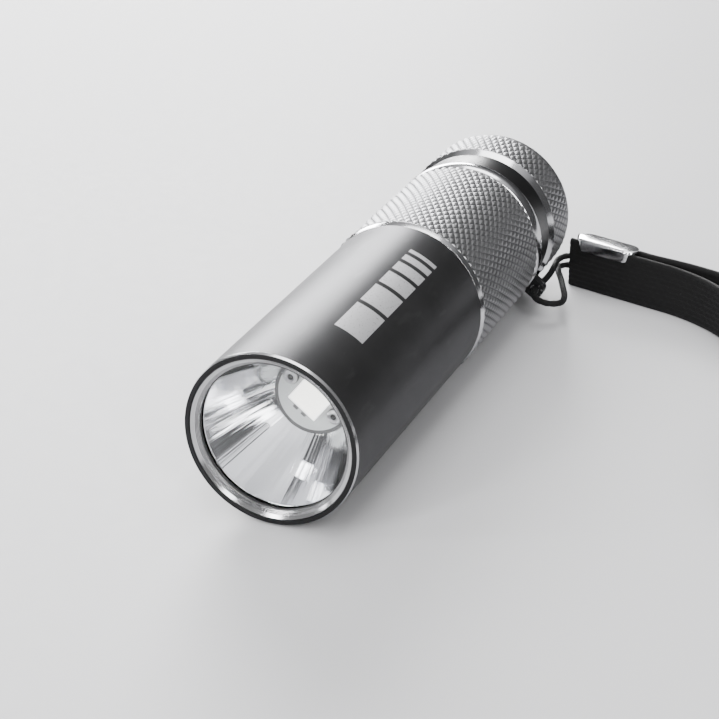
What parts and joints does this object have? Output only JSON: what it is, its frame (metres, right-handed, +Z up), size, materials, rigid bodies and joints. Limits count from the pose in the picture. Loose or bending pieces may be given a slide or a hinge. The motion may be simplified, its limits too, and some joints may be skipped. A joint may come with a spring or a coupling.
{
  "type": "tactical flashlight",
  "caption": "Pocket LED flashlight with an aluminium body, knurled grip, screw-on tail cap with a push-button, an AAA battery carrier and a wrist strap.",
  "frame": {"origin": "centre of the body's footprint on the table, without the lanyard: under the middle of the body's length, at the lowest point of the grip", "axes": "+X along the beam axis towards the lens, +Z up, +Y towards the side where the wrist strap lies"},
  "size_m": [0.1067, 0.1219, 0.0286],
  "materials": {
    "grey_aluminium": "bead-blasted, anodised grey",
    "silver_aluminium": "knurled, anodised silver",
    "dark_aluminium": "satin, anodised black",
    "raw_aluminium": "machined",
    "reflector_mirror": "vacuum-metallised plastic",
    "lens_clear": "clear",
    "black_rubber": "matt",
    "phosphor": "LED package",
    "board_white": "white solder mask on an aluminium core",
    "board_green": "solder mask",
    "spring_steel": "bright",
    "brass_contact": "plain",
    "lead_insulation": "insulated wire",
    "black_plastic": "moulded",
    "white_plastic": "moulded",
    "cell_wrap": "shrink-wrapped, plain",
    "black_nylon": "woven webbing",
    "clip_steel": "polished"
  },
  "bodies": {
    "light_body": {"bezel_ring": "dark_aluminium", "lens_gasket": "black_rubber", "front_lens": "lens_clear", "reflector": "reflector_mirror", "led_package": "phosphor", "led_board": "board_white", "board_screws": "spring_steel", "heat_sink": "raw_aluminium", "led_leads": "lead_insulation", "driver_board": "board_green", "front_contact": "brass_contact", "head_tube": "grey_aluminium", "tube_o_ring": "black_rubber", "battery_tube": "silver_aluminium", "lanyard_collar": "dark_aluminium", "tail_o_ring": "black_rubber", "carrier_front_plate": "black_plastic", "carrier_rear_plate": "black_plastic", "carrier_posts": "raw_aluminium", "carrier_contacts": "brass_contact", "carrier_springs": "spring_steel", "cell_1": "cell_wrap", "cell_2": "cell_wrap", "cell_3": "cell_wrap", "loop_cord": "black_nylon", "strap_clip": "clip_steel", "wrist_strap": "black_nylon"},
    "tail_carriage": {"tail_spring": "spring_steel"},
    "cap": {"tail_cap": "silver_aluminium", "switch_housing": "black_plastic", "switch_terminal": "brass_contact", "switch_retaining_ring": "raw_aluminium", "switch_spring": "spring_steel"},
    "button": {"switch_plunger": "white_plastic", "button_boot": "black_rubber"}
  },
  "joints": [
    {"name": "cap_travel", "type": "slide", "parent": "light_body", "child": "tail_carriage", "axis": [-1, 0, 0], "range_m": [0, 0.005]},
    {"name": "cap_turn", "type": "hinge", "parent": "tail_carriage", "child": "cap", "pos_m": [-0.046, 0, 0.0143], "axis": [-1, 0, 0], "range_deg": [0, 1800]},
    {"name": "button_press", "type": "slide", "parent": "cap", "child": "button", "axis": [1, 0, 0], "range_m": [0, 0.0013], "stiffness_N_per_m": 1500, "springref_m": -0.001, "deforming": ["switch_spring"]}
  ],
  "couplings": [
    {"joint": "cap_travel", "follows": "cap_turn", "m_per_rad": 0.00015915}
  ]
}
